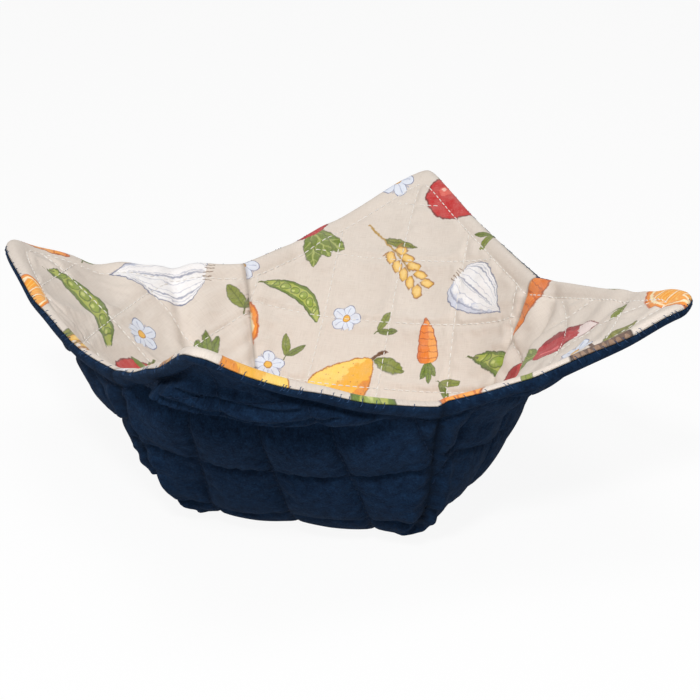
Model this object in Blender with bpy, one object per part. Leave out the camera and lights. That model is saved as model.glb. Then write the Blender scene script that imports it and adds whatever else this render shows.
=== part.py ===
"""Microwave bowl cozy: a quilted square, darted at the middle of each side into a square-bottomed
bowl with four flaring corners. Metres, +Z up, origin on the table under the middle of the whole.

The pattern is flat and lies with its corners on the X and Y axes. Every point of it, (u, v) in the
panel that runs out to one corner, is carried to its place in the sewn form by panel_point()."""

import math
from collections import namedtuple

import bmesh
import bpy
import numpy as np

# Cut pattern: finished sizes, measured on the flat cloth
CORNER_REACH = 0.180        # middle of the square to a corner; the side is 254.6 mm, 10 inches
BASE_HALF = 0.045           # half the side of the bottom, which ends at the dart points
DART_MOUTH = 0.06364        # width of a dart where it reaches the edge
QUILT_PITCH = 0.030         # quilting squares, whose lines run from corner to corner
RIM_STITCH = 0.0070         # topstitching, in from the edge
RIM_ROLL = 0.0028           # crest of the rolled edge, in from the edge

# Layers, half thicknesses from the middle of the padding
FABRIC = 0.0009             # one thickness of cotton
CLEARANCE = 0.0003          # between two layers that lie on each other
PADDING_AT_STITCH = 0.0005  # half the wadding where a line of stitches holds it down
PUFF = 0.0028               # how far a quilting square swells beyond its lines
ROLL = 0.0014               # half the wadding in the rolled edge
FOOT = 0.0032               # middle of the padding to the table, where the bottom is pressed flat

# Sewn form
BEND = 0.048                # length over which the cloth turns up from the bottom into the wall
FLARE_START = 0.080         # distance from the middle at which a corner starts to flare
ROUNDNESS = 2.8             # how a wall bows between its seams: 2 is a parabola, more is squarer
SEAM_RAMP = 0.006           # width of the slope from a puff down to a dart seam
PUFF_SHAPE = 0.7            # below 1 the puffs are full, above 1 they are pointed

# Mesh
STEPS = 3                   # along each side of a quilting square
TIDY = 0.0009               # points of the cut pattern that lie closer than this are joined
SEAM_TIDY = 0.35            # and before the rim is laid out, those within this share of a step
PROFILE_STEPS = 400

# The four corners, anticlockwise from +X. Angles are above the level; a curl lifts or drops the
# edge of a corner on its clockwise and its anticlockwise side.
Corner = namedtuple("Corner", "wall_deg tip_deg yaw_deg curl_cw curl_ccw")
CORNERS = (
    Corner(58, 23, -5, -0.006, -0.016),
    Corner(50, 28, 2, 0.000, 0.013),
    Corner(43, 20, -10, -0.010, 0.010),
    Corner(55, 36, -2, -0.001, -0.002),
)
# The four dart seams, anticlockwise, each after the corner of the same place in the list above
Seam = namedtuple("Seam", "low_deg high_deg turn_deg")
SEAMS = (Seam(70, 67, 2), Seam(52, 61, -5), Seam(61, 79, 7), Seam(66, 55, -5))

Middle = namedtuple("Middle", "points normals halves from_rim faces")

NAVY = (0.010, 0.030, 0.075, 1)
NATURAL = (0.62, 0.55, 0.46, 1)
WADDING = (0.80, 0.78, 0.72, 1)

DIAGONAL = math.sqrt(2)
DART_DEPTH = (CORNER_REACH - 2 * BASE_HALF) / DIAGONAL
SPREAD = (DART_DEPTH - DART_MOUTH / 2) / (DART_DEPTH + DART_MOUTH / 2)   # of a dart's edge, across per out
MOUTH_OUT = BASE_HALF + (DART_DEPTH + DART_MOUTH / 2) / DIAGONAL         # where a dart's edge meets the rim
STITCHED_HALF = FABRIC + CLEARANCE + PADDING_AT_STITCH
ROLLED_HALF = FABRIC + CLEARANCE + ROLL
EDGE_HALF = FABRIC + CLEARANCE / 2


def eased(t):
    """0 before t = 0 and 1 after t = 1, with a smooth rise between them."""
    t = np.clip(t, 0, 1)
    return t * t * (3 - 2 * t)


def half_width(u):
    """Half the width of a panel at u: the bottom's diagonals, then the edges of the darts."""
    return np.where(u < BASE_HALF, u, BASE_HALF + (u - BASE_HALF) * SPREAD)


def rising_line(u, low_deg, high_deg, start, flat_pace, wall_pace):
    """How far out and how high a line has come at u. It is level on the bottom, turns up to
    low_deg over the bend, and eases to high_deg from start to the corner. A pace is the length
    of the line for each unit of u."""
    steps = np.linspace(0, CORNER_REACH, PROFILE_STEPS)
    bend = eased((steps - (BASE_HALF - BEND / 2)) / BEND)
    flare = eased((steps - start) / (CORNER_REACH - start))
    slope = np.radians(low_deg * bend + (high_deg - low_deg) * flare)
    pace = np.where(steps < BASE_HALF, flat_pace, wall_pace)
    middle = (slope[1:] + slope[:-1]) / 2
    run = pace[1:] * np.diff(steps)
    out = np.concatenate(([0], np.cumsum(np.cos(middle) * run)))
    up = np.concatenate(([0], np.cumsum(np.sin(middle) * run)))
    return np.interp(u, steps, out), np.interp(u, steps, up)


def centre_line(corner, u):
    """The line from the middle of the bottom to a corner's tip."""
    out, up = rising_line(u, corner.wall_deg, corner.tip_deg, FLARE_START, 1, 1)
    yaw = math.radians(corner.yaw_deg) * eased((u - BASE_HALF) / (CORNER_REACH - BASE_HALF))
    return np.stack((out * np.cos(yaw), out * np.sin(yaw), up), -1)


def seam_line(seam, side, curl, u):
    """The dart seam at one side of a panel, and past the rim the line that guides the corner's edge."""
    out, up = rising_line(u, seam.low_deg, seam.high_deg, BASE_HALF, DIAGONAL, math.hypot(1, SPREAD))
    turn = seam.turn_deg * eased((u - BASE_HALF) / (MOUTH_OUT - BASE_HALF))
    bearing = np.radians(45 * side + turn)
    past_rim = np.maximum(u - MOUTH_OUT, 0) / (CORNER_REACH - MOUTH_OUT)
    return np.stack((out * np.cos(bearing), out * np.sin(bearing), up + curl * past_rim**1.5), -1)


def panel_point(panel, u, v):
    """The place in the sewn form of the flat pattern's point u out and v across in a panel."""
    corner = CORNERS[panel]
    middle = centre_line(corner, u)
    clockwise = seam_line(SEAMS[panel - 1], -1, corner.curl_cw, u)
    anticlockwise = seam_line(SEAMS[panel], 1, corner.curl_ccw, u)
    share = (v / np.maximum(half_width(u), 1e-9))[:, None]
    bow = np.abs(share) ** ROUNDNESS
    between = (anticlockwise + clockwise) / 2
    local = middle + share * (anticlockwise - clockwise) / 2 + bow * (between - middle)
    turn = math.radians(90 * panel)
    x = local[:, 0] * math.cos(turn) - local[:, 1] * math.sin(turn)
    y = local[:, 0] * math.sin(turn) + local[:, 1] * math.cos(turn)
    return np.stack((x, y, local[:, 2]), -1)


def half_thickness(u, v):
    """From the middle of the padding to the visible face: low on stitches, swelling between them."""
    puff = 1.0
    for across in (u, v):
        puff = puff * np.abs(np.sin(np.pi * across / QUILT_PITCH)) ** PUFF_SHAPE
    from_rim = (CORNER_REACH - u - np.abs(v)) / DIAGONAL
    from_seam = np.where(u > BASE_HALF, (half_width(u) - np.abs(v)) / math.hypot(1, SPREAD), SEAM_RAMP)
    puff = puff * eased((from_rim - RIM_STITCH) / SEAM_RAMP + 0.4) * eased(from_seam / SEAM_RAMP)
    quilted = STITCHED_HALF + PUFF * puff
    edge = np.interp(from_rim, (0, RIM_ROLL, RIM_STITCH), (EDGE_HALF, ROLLED_HALF, STITCHED_HALF))
    return np.where(from_rim < RIM_STITCH - 1e-6, edge, quilted)


def join_close(pattern, corners, distance):
    """Joins points of the flat pattern that lie within distance of each other. The corners stay
    where they are, and an inner point gives way to one on the outline."""
    inner_last = sorted(pattern.verts, key=lambda p: (p not in corners, not p.is_boundary))
    kept = []
    targets = {}
    for point in inner_last:
        near = next((k for k in kept if math.dist(k.co, point.co) < distance), None)
        if near:
            targets[point] = near
        else:
            kept.append(point)
    bmesh.ops.weld_verts(pattern, targetmap=targets)


def cut(pattern, point, away, discard=True):
    """Cuts the flat pattern along the line through point, and drops what lies on the side away."""
    bmesh.ops.bisect_plane(
        pattern, geom=pattern.verts[:] + pattern.edges[:] + pattern.faces[:], dist=1e-7,
        plane_co=(*point, 0), plane_no=(*away, 0), clear_outer=discard)


def split_towards_puffs(pattern):
    """Splits each square of the grid along the diagonal that points at the middle of its puff."""
    for face in [f for f in pattern.faces if len(f.verts) == 4]:
        centre = face.calc_center_median()
        x, y = ((c / QUILT_PITCH) % 1 - 0.5 for c in (centre.x, centre.y))
        slope = 1 if x * y > 0 else -1
        ends = sorted(face.verts, key=lambda p: (p.co.x - centre.x) + slope * (p.co.y - centre.y))
        if not ends[0].link_edges or ends[3] in [e.other_vert(ends[0]) for e in ends[0].link_edges]:
            continue
        bmesh.utils.face_split(face, ends[0], ends[3])
    bmesh.ops.triangulate(pattern, faces=[f for f in pattern.faces if len(f.verts) > 3])


def half_panel():
    """Half of one panel of the flat pattern, cut out of squared cloth: the bottom's triangle, the
    wall beside a dart's edge, and the corner."""
    step = QUILT_PITCH / STEPS
    count = math.ceil(CORNER_REACH / step) + 1
    pattern = bmesh.new()
    rows = [[pattern.verts.new((i * step, j * step, 0)) for i in range(count + 1)] for j in range(count + 1)]
    for j in range(count):
        for i in range(count):
            pattern.faces.new((rows[j][i], rows[j][i + 1], rows[j + 1][i + 1], rows[j + 1][i]))
    cut(pattern, (CORNER_REACH, 0), (1, 1))
    cut(pattern, (BASE_HALF, BASE_HALF), (-1, 1))
    cut(pattern, (BASE_HALF, BASE_HALF), (-SPREAD, 1))
    ends = ((0, 0), (BASE_HALF, BASE_HALF), (MOUTH_OUT, CORNER_REACH - MOUTH_OUT), (CORNER_REACH, 0))
    corners = [min(pattern.verts, key=lambda p: math.dist(p.co.xy, end)) for end in ends]
    join_close(pattern, corners, SEAM_TIDY * step)
    for inside in (RIM_STITCH, RIM_ROLL):
        cut(pattern, (CORNER_REACH - inside * DIAGONAL, 0), (1, 1), discard=False)
    join_close(pattern, corners, TIDY)
    split_towards_puffs(pattern)
    return pattern


def softened(normals, faces):
    """Normals averaged with their neighbours', so that a layer inside a crease doesn't fold over itself."""
    total = normals.copy()
    for turn in (1, 2):
        np.add.at(total, faces, normals[np.roll(faces, turn, axis=1)])
    return total / np.linalg.norm(total, axis=1, keepdims=True)


def sewn_middle():
    """The middle of the padding as a sewn surface. Eight half panels are carried to their places
    and joined at the seams."""
    pattern = half_panel()
    pattern.verts.index_update()
    flat = np.array([p.co[:] for p in pattern.verts])
    triangles = [[p.index for p in f.verts] for f in pattern.faces]
    pattern.free()
    form = bmesh.new()
    half_layer = form.verts.layers.float.new("half")
    rim_layer = form.verts.layers.float.new("from_rim")
    halves = half_thickness(flat[:, 0], flat[:, 1])
    from_rim = (CORNER_REACH - flat[:, 0] - flat[:, 1]) / DIAGONAL
    for panel in range(4):
        for side in (1, -1):
            points = [form.verts.new(place) for place in panel_point(panel, flat[:, 0], flat[:, 1] * side)]
            for k, point in enumerate(points):
                point[half_layer] = halves[k]
                point[rim_layer] = from_rim[k]
            for corner_points in triangles:
                form.faces.new([points[k] for k in corner_points[::-side]])
    bmesh.ops.remove_doubles(form, verts=form.verts[:], dist=1e-6)
    form.normal_update()
    form.verts.index_update()
    faces = np.array([[p.index for p in f.verts] for f in form.faces])
    middle = Middle(
        points=np.array([p.co[:] for p in form.verts]),
        normals=softened(np.array([p.normal[:] for p in form.verts]), faces),
        halves=np.array([p[half_layer] for p in form.verts]),
        from_rim=np.array([p[rim_layer] for p in form.verts]),
        faces=faces)
    form.free()
    return middle


def face_of_layer(middle, side, depth):
    """One face of a layer: depth under the visible face, on the outside (side 1) or the inside (-1).
    The bottom's outside is pressed flat by the table."""
    place = middle.points + middle.normals * ((middle.halves - depth) * side)[:, None]
    if side > 0:
        place[:, 2] = np.maximum(place[:, 2], depth - FOOT)
    return place


def material(name, colour, roughness):
    made = bpy.data.materials.new(name)
    made.use_nodes = True
    shader = made.node_tree.nodes["Principled BSDF"]
    shader.inputs["Base Color"].default_value = colour
    shader.inputs["Roughness"].default_value = roughness
    shader.inputs["Metallic"].default_value = 0.0
    return made


def layer(name, middle, outer, inner, finish, inside_rim=0.0):
    """A closed layer of cloth between an outer and an inner face, joined round its edge, which
    lies inside_rim of the whole's."""
    kept = middle.faces[(middle.from_rim[middle.faces] > inside_rim - 1e-6).all(1)]
    used, faces = np.unique(kept, return_inverse=True)
    faces = faces.reshape(-1, 3)
    sides = {(a, b) for face in faces.tolist() for a, b in zip(face, face[1:] + face[:1])}
    count = len(used)
    edge = [(b, a, a + count, b + count) for a, b in sorted(sides) if (b, a) not in sides]
    mesh = bpy.data.meshes.new(name)
    mesh.from_pydata(np.concatenate((outer[used], inner[used])).tolist(), [],
                     faces.tolist() + (faces[:, ::-1] + count).tolist() + edge)
    mesh.shade_smooth()
    mesh.set_sharp_from_angle(angle=math.radians(60))
    mesh.materials.append(finish)
    made = bpy.data.objects.new(name, mesh)
    bpy.context.scene.collection.objects.link(made)
    return made


def stand_on_origin(pieces):
    """Moves the pieces so that the origin is on the table, under the middle of the whole."""
    points = np.concatenate([[p.co[:] for p in piece.data.vertices] for piece in pieces])
    low, high = points.min(0), points.max(0)
    for piece in pieces:
        piece.location = (-(low[0] + high[0]) / 2, -(low[1] + high[1]) / 2, -low[2])


def main():
    for old in list(bpy.data.objects):
        bpy.data.objects.remove(old)
    cloth = sewn_middle()
    under = FABRIC + CLEARANCE
    cover = layer("outer_cover", cloth, face_of_layer(cloth, 1, 0), face_of_layer(cloth, 1, FABRIC),
                  material("navy_cotton", NAVY, 0.95))
    batting = layer("batting", cloth, face_of_layer(cloth, 1, under), face_of_layer(cloth, -1, under),
                    material("cotton_wadding", WADDING, 1.0), inside_rim=RIM_ROLL)
    lining = layer("lining", cloth, face_of_layer(cloth, -1, FABRIC), face_of_layer(cloth, -1, 0),
                   material("natural_cotton", NATURAL, 0.9))
    stand_on_origin([cover, batting, lining])


main()
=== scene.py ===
"""Looks of the microwave bowl cozy: quilted navy cover, printed lining, wadding between them, thread.

The cloth is laid out flat first, as it was cut: a panel runs out from the middle to each corner,
u along it and v across it, in metres. sewn_point() carries a flat point to its place in the bowl.
Everything else, from the puffs of the quilting to the print and the stitches, is worked out on
the flat cloth and goes through that one function."""

import math
from collections import namedtuple
from functools import partialmethod

import bpy
import numpy as np
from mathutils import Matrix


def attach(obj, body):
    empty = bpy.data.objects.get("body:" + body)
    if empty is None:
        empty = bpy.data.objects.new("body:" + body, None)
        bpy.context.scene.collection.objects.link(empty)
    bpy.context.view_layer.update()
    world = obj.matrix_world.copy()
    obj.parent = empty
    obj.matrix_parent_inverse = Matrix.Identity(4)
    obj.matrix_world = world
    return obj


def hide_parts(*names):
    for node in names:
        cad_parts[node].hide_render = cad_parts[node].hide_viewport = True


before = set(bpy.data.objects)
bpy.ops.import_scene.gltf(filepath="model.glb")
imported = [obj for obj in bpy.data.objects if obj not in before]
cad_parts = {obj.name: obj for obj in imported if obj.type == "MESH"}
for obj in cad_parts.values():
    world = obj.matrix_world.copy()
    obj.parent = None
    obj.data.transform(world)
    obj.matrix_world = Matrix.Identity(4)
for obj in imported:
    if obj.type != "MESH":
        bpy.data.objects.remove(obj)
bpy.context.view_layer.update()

# Cut pattern, as in the frame
CORNER_REACH = 0.180
BASE_HALF = 0.045
DART_MOUTH = 0.06364
RIM_STITCH = 0.0070
DIAGONAL = math.sqrt(2)
DART_DEPTH = (CORNER_REACH - 2 * BASE_HALF) / DIAGONAL
SPREAD = (DART_DEPTH - DART_MOUTH / 2) / (DART_DEPTH + DART_MOUTH / 2)
MOUTH_OUT = BASE_HALF + (DART_DEPTH + DART_MOUTH / 2) / DIAGONAL

# Quilting lines, straight across the flat cloth from corner to corner
QUILT_PITCH = 0.030
QUILT_SHIFT = (-0.0015, 0.0065)     # of the line nearest the middle, along x and along y

# Sewn form, as in the frame
BEND = 0.048
FLARE_START = 0.080
ROUNDNESS = 2.8
FOOT = 0.0032
PROFILE_STEPS = 600
Corner = namedtuple("Corner", "wall_deg tip_deg yaw_deg curl_cw curl_ccw")
CORNERS = (
    Corner(58, 23, -5, -0.006, -0.016),
    Corner(50, 28, 2, 0.000, 0.013),
    Corner(43, 20, -10, -0.010, 0.010),
    Corner(55, 36, -2, -0.001, -0.002),
)
Seam = namedtuple("Seam", "low_deg high_deg turn_deg")
SEAMS = (Seam(70, 67, 2), Seam(52, 61, -5), Seam(61, 79, 7), Seam(66, 55, -5))

# Thicknesses, puffs, creases and seams
FABRIC = 0.0007
CLEARANCE = 0.0002
STITCHED_HALF = 0.0018      # middle of the wadding to the face, where stitches hold it down
PUFF_OUT = 0.0030           # swelling of a quilting square above that, on the cover
PUFF_IN = 0.0010            # and on the lining
PUFF_SLID = 0.3             # how far the padding of the walls has slid down, 0 for not at all
PUFF_PRESSED = 0.55         # share of a puff that is pressed flat under the bowl
CREASE = 0.0008             # how far a line of stitches sinks into the cloth
CREASE_WIDTH = 0.0011
SEAM_SUNK = 0.0010          # how far a dart seam sinks in
SEAM_WIDTH = 0.0014
SEAM_CALM = 0.014           # within this of a seam the puffs are lower,
CALM_LEFT = 0.3             # down to this share
WELT = 0.0017               # height of the soft ridge on each side of a seam, on the cover
WELT_IN = 0.7               # its share on the lining
WELT_AWAY = 0.0040          # from the seam to its crest
WELT_WIDTH = 0.0028
PUCKER_OUT = 0.0008         # height of the short folds square to a seam, on the cover
PUCKER_IN = 0.0007          # and on the lining
PUCKER_PITCHES = (0.0091, 0.0107, 0.0096, 0.0112, 0.0101, 0.0088, 0.0109, 0.0094)   # by panel's side
UNEVEN = 0.00035            # wander of the cloth near the rim
UNEVEN_FADE = 0.010
SUNK_ROOM = 1.4 * FABRIC + CLEARANCE    # that creases leave between a face and the cloth's middle
WADDING_CREASE = 1.3        # how far the wadding sinks under stitches, in depths of a crease
WADDING_INSET = 0.44        # share of the thickness by which it is set in at most
EDGE_HALF = 0.0008          # middle of the wadding to the face at the very edge
ROLL_HALF = 0.0030          # and at the crest of the rolled rim, on the cover
ROLL_IN = (0.0027, 0.0025, 0.0026, 0.0031)      # and on the lining, by panel
CREST_OUT = 0.0034          # which lies this far in from the edge on the cover
CREST_IN = 0.0020           # and on the lining
# How far outwards the rim leans at the edge, by panel and side
ROLL_TURN = ((0.0000, 0.0010), (0.0012, 0.0012), (0.0014, 0.0012), (0.0019, 0.0019))
TIP_ROUND = (0.0086, 0.0042, 0.0092, 0.0064)    # radius that each corner is rounded to
TIP_REACH = 0.88            # share of it by which the corner is let out again
TIP_FADE = 0.030            # the rounding dies away over this length from the corner

# Slack of the cover that hangs over a line below the front rim
LIP_PANEL = 3
LIP_LINE = 0.1282           # where the line crosses the panel's centre line
LIP_SLANT = 0.175           # the line comes nearer the bottom by this share of v
LIP_OUT = 0.0104            # how far the slack stands out, level
LIP_SAG = 0.0008            # and hangs down
LIP_RISE = 0.0030           # it is fullest this far past the line
LIP_FADE = 0.030            # and dies away over this length
LIP_LOOSE = 0.7             # share by which stitches there hold less
LIP_FLAT = 0.85             # share by which puffs are lower there
RIPPLE = 0.0056             # height of the folds that run along the slack
RIPPLE_PITCH = 0.0080
RIPPLE_LEVEL = 0.6          # share of that height which lies inwards
TUCK = 0.0030               # how far the cover is drawn in below the line
TUCK_AWAY = 0.0100          # from the line to where that is deepest
TUCK_WIDTH = 0.0075

# Soft folds of the whole cloth, each along a line of the flat cloth
Fold = namedtuple("Fold", "panel start end width depth")
FOLDS = (
    Fold(2, (0.130, -0.054), (0.094, -0.034), 0.0034, 0.0030),
    Fold(2, (0.121, -0.058), (0.100, -0.050), 0.0050, -0.0018),
    Fold(2, (0.150, -0.030), (0.128, -0.020), 0.0060, 0.0016),
    Fold(2, (0.141, -0.039), (0.126, -0.034), 0.0050, -0.0014),
    Fold(0, (0.153, 0.027), (0.132, 0.012), 0.0050, 0.0013),
    Fold(0, (0.117, 0.058), (0.100, 0.040), 0.0040, 0.0020),
    Fold(1, (0.128, 0.050), (0.110, 0.044), 0.0050, 0.0018),
    Fold(1, (0.138, 0.040), (0.120, 0.036), 0.0050, -0.0012),
    Fold(3, (0.1150, -0.050), (0.1115, 0.046), 0.0062, -0.0044),
    Fold(0, (0.103, -0.044), (0.103, 0.030), 0.0120, -0.0044),
    Fold(2, (0.056, -0.046), (0.056, 0.004), 0.0110, 0.0034),
    Fold(3, (0.052, -0.046), (0.052, -0.018), 0.0090, 0.0020),
    Fold(0, (0.112, 0.0585), (0.058, 0.0445), 0.0032, -0.0018),
    Fold(2, (0.160, -0.010), (0.180, 0.0), 0.0140, -0.0016),
    Fold(0, (0.168, 0.010), (0.180, 0.004), 0.0070, -0.0016),
    Fold(0, (0.130, -0.044), (0.172, -0.006), 0.0060, 0.0015),
)

# Thread
STITCH = 0.0023             # length of one stitch that shows
STITCH_PITCH = 0.0031
THREAD_RADIUS = 0.00024
EDGE_PITCH = 0.0017         # of the stitches that wind over the rim
EDGE_SHARE = 0.32           # share of them that shows
EDGE_BELOW = (0.0002, 0.0005)   # how far they reach down the cover
EDGE_ABOVE = 0.0003         # and at most onto the lining
EDGE_LEAN = 0.0019          # how far one leans along the rim
EDGE_RADIUS = 0.62 * THREAD_RADIUS
# Rings of a stitch: share of its length, share of its radius, height over the cloth in radii
STITCH_RINGS = ((0.0, 0.4, -0.15), (0.2, 1.0, 0.55), (0.5, 1.0, 0.75), (0.8, 1.0, 0.55),
                (1.0, 0.4, -0.15))
RING_SIDES = 5
THREAD_SEED = 5

ORIGIN_SHIFT = np.array([0.0071, -0.0047, FOOT])    # of the pattern's middle, as in the frame

# Cloth simulation
SIM_FRAMES = 16
MOST_MOVED = 0.0022         # and less beside the seams
CLOTH_SETTINGS = {
    "vertex_group_mass": "held", "mass": 0.3, "quality": 6, "tension_stiffness": 15,
    "compression_stiffness": 8, "shear_stiffness": 5, "bending_stiffness": 0.4,
    "vertex_group_shrink": "slack", "shrink_min": -0.010, "shrink_max": -0.030,
    "use_pressure": True, "uniform_pressure_force": 2.0, "air_damping": 1}

# Weave and print: rooms of the motifs from large to small
UV_SPAN = 0.3               # metres of cloth across the whole UV map
WEAVE_PITCH = 0.00062
PRINT_SEED = 11
LARGE_ROOMS = (0.0240, 0.0210, 0.0180, 0.0150)
SMALL_ROOMS = (0.0090, 0.0072)
CROWDING = 0.9              # below 1, rooms may overlap by that share
MOTIF_REACH = 0.0145        # from a large motif's middle to its furthest point, as drawn
PRINT_TRIES = 2500          # random places for each room

# Mesh of the laid-out cloth
COLUMNS = 24                # across half a panel, before the cloth is relaxed
ROWS = 43                   # from the bottom's edge to the topstitching
RIM_ROWS = (0.0058, 0.0045, 0.0034, 0.0025, 0.0017, 0.0010, 0.0004, 0.0)   # in from the edge
WELD = 2e-6                 # points in one cell of this size are joined
WELD_SHIFT = 0.3137         # of the cells, so that no round number lies on their borders
NEAR = 1e-5                 # closer to a line than this counts as on it


def eased(t):
    """0 before t = 0 and 1 after t = 1, with a smooth rise between them."""
    t = np.clip(t, 0, 1)
    return t * t * (3 - 2 * t)


def bell(away, width):
    """1 on a line and falling off to both sides of it: e to the power of minus (away / width) squared."""
    return np.exp(-(away / width) ** 2)


def unit(vectors):
    return vectors / np.maximum(np.linalg.norm(vectors, axis=-1, keepdims=True), 1e-12)


def travelled(path):
    """How far along a path of points each of them lies."""
    return np.concatenate(([0], np.cumsum(np.linalg.norm(np.diff(path, axis=0), axis=1))))


def half_width(u):
    """Half the width of a panel at u: the bottom's diagonals, then the edges of the darts."""
    return np.where(u < BASE_HALF, u, BASE_HALF + (u - BASE_HALF) * SPREAD)


def rising_line(u, low_deg, high_deg, start, flat_pace, wall_pace):
    """How far out and how high a line has come at u: level on the bottom, turned up to low_deg by
    the bend, and eased to high_deg from start to the corner. Slopes are summed along the line."""
    steps = np.linspace(0, CORNER_REACH, PROFILE_STEPS)
    bend = eased((steps - (BASE_HALF - BEND / 2)) / BEND)
    flare = eased((steps - start) / (CORNER_REACH - start))
    slope = np.radians(low_deg * bend + (high_deg - low_deg) * flare)
    pace = np.where(steps < BASE_HALF, flat_pace, wall_pace)
    middle = (slope[1:] + slope[:-1]) / 2
    run = pace[1:] * np.diff(steps)
    out = np.concatenate(([0], np.cumsum(np.cos(middle) * run)))
    up = np.concatenate(([0], np.cumsum(np.sin(middle) * run)))
    return np.interp(u, steps, out), np.interp(u, steps, up)


def seam_line(seam, side, curl, u):
    """The dart seam at one side of a panel, and past the rim the line that guides the corner's edge."""
    out, up = rising_line(u, seam.low_deg, seam.high_deg, BASE_HALF, DIAGONAL, math.hypot(1, SPREAD))
    turn = seam.turn_deg * eased((u - BASE_HALF) / (MOUTH_OUT - BASE_HALF))
    bearing = np.radians(45 * side + turn)
    past_rim = np.maximum(u - MOUTH_OUT, 0) / (CORNER_REACH - MOUTH_OUT)
    return np.stack((out * np.cos(bearing), out * np.sin(bearing), up + curl * past_rim**1.5), -1)


def panel_point(panel, u, v):
    """The place of a flat point of one panel: along the panel's centre line at u, drawn towards the
    two seam lines by its share of the half width, with a bow of that share to a power."""
    corner = CORNERS[panel]
    out, up = rising_line(u, corner.wall_deg, corner.tip_deg, FLARE_START, 1, 1)
    yaw = math.radians(corner.yaw_deg) * eased((u - BASE_HALF) / (CORNER_REACH - BASE_HALF))
    middle = np.stack((out * np.cos(yaw), out * np.sin(yaw), up), -1)
    clockwise = seam_line(SEAMS[panel - 1], -1, corner.curl_cw, u)
    anticlockwise = seam_line(SEAMS[panel], 1, corner.curl_ccw, u)
    share = (v / np.maximum(half_width(u), 1e-9))[..., None]
    bow = np.abs(share) ** ROUNDNESS
    local = middle + share * (anticlockwise - clockwise) / 2
    local += bow * ((anticlockwise + clockwise) / 2 - middle)
    turn = math.radians(90 * panel)
    x = local[..., 0] * math.cos(turn) - local[..., 1] * math.sin(turn)
    y = local[..., 0] * math.sin(turn) + local[..., 1] * math.cos(turn)
    return np.stack((x, y, local[..., 2]), -1)


def sewn_point(panel, u, v):
    """panel_point for arrays that mix points of the four panels, with the corners rounded off: the
    edge u = reach - |v| becomes the hyperbola u = reach + 0.88 r - sqrt(v squared + r squared),
    where r is TIP_ROUND and 0.88 is TIP_REACH."""
    place = np.zeros(u.shape + (3,))
    radius = np.array(TIP_ROUND)[panel]
    drawn_in = np.hypot(v, radius) - np.abs(v) - TIP_REACH * radius
    u = u - drawn_in * eased((u - CORNER_REACH + TIP_FADE) / TIP_FADE)
    for k in range(4):
        mine = panel == k
        if mine.any():
            place[mine] = panel_point(k, u[mine], v[mine])
    return place


def outward(panel, u, v):
    """Unit normals of the sewn cloth towards the outside: the cross product of its two slopes."""
    step = 0.0004
    along = sewn_point(panel, u + step, v) - sewn_point(panel, np.maximum(u - step, 0), v)
    across = sewn_point(panel, u, v + step) - sewn_point(panel, u, v - step)
    normal = np.cross(across, along)
    normal[u < BASE_HALF - BEND / 2 - step] = (0, 0, -1)
    return unit(normal)


def flat_xy(panel, u, v):
    """The flat cloth's own x and y of a panel's u and v."""
    turn = np.radians(90.0 * panel)
    return u * np.cos(turn) - v * np.sin(turn), u * np.sin(turn) + v * np.cos(turn)


# A patch is a grid of flat points: the bottom is one, and each wall is two, left and right of its
# centre line. side is 1 where v grows with the columns and -1 where it falls.
Patch = namedtuple("Patch", "panel u v side")


def nearest_line(value, shift):
    return shift + QUILT_PITCH * np.round((value - shift) / QUILT_PITCH)


def to_line(value, spacing, shift):
    """Moves a coordinate onto the quilting line that it lies within half a spacing of."""
    line = nearest_line(value, shift)
    return np.where(np.abs(value - line) < spacing / 2, line, value)


def is_wall(patch):
    return np.ptp(patch.panel) == 0


def line_shifts(panel):
    """Where the quilting lines cross a panel's u axis and its v axis."""
    x, y = QUILT_SHIFT
    return ((x, y), (y, -x), (-x, -y), (-y, x))[panel]


def wall_patch(panel, side):
    """Half a wall. Its rows run from the bottom's edge to the topstitching and its columns from the
    centre line to the dart's edge; both families are straight lines on the flat cloth."""
    t = np.linspace(0, 1, COLUMNS + 1)[None, :] * np.ones((ROWS + 1, 1))
    last = 1 - RIM_STITCH * DIAGONAL / (CORNER_REACH - BASE_HALF - t * BASE_HALF)
    s = np.linspace(0, 1, ROWS + 1)[:, None] * last
    run = CORNER_REACH - BASE_HALF - (CORNER_REACH - MOUTH_OUT) * t
    u = BASE_HALF + s * run
    width = BASE_HALF + s * (CORNER_REACH - MOUTH_OUT - BASE_HALF)
    v = side * t * width
    u_shift, v_shift = line_shifts(panel)
    u[1:-1] = to_line(u, run * last / ROWS, u_shift)[1:-1]
    v[:, :-1] = to_line(v, width / COLUMNS, v_shift)[:, :-1]
    v[1:-1, -1] = side * half_width(u[1:-1, -1])
    u[-1, :-1] = CORNER_REACH - RIM_STITCH * DIAGONAL - np.abs(v[-1, :-1])
    return Patch(np.full(u.shape, panel), u, v, side)


def bottom_patch():
    """The square bottom, whose points belong to the panel that their diagonal wedge runs into."""
    line = np.linspace(-BASE_HALF, BASE_HALF, 2 * COLUMNS + 1)
    x = to_line(line, BASE_HALF / COLUMNS, QUILT_SHIFT[0])[:, None] * np.ones(len(line))[None, :]
    y = to_line(line, BASE_HALF / COLUMNS, QUILT_SHIFT[1])[None, :] * np.ones(len(line))[:, None]
    return bottom_from(x, y)


def bottom_from(x, y):
    """The bottom's patch of the flat places x and y."""
    panel = np.where(np.abs(x) >= np.abs(y), np.where(x >= 0, 0, 2), np.where(y > 0, 1, 3))
    turn = np.radians(-90.0 * panel)
    u = x * np.cos(turn) - y * np.sin(turn)
    v = x * np.sin(turn) + y * np.cos(turn)
    return Patch(panel, u, v, 1)


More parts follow.
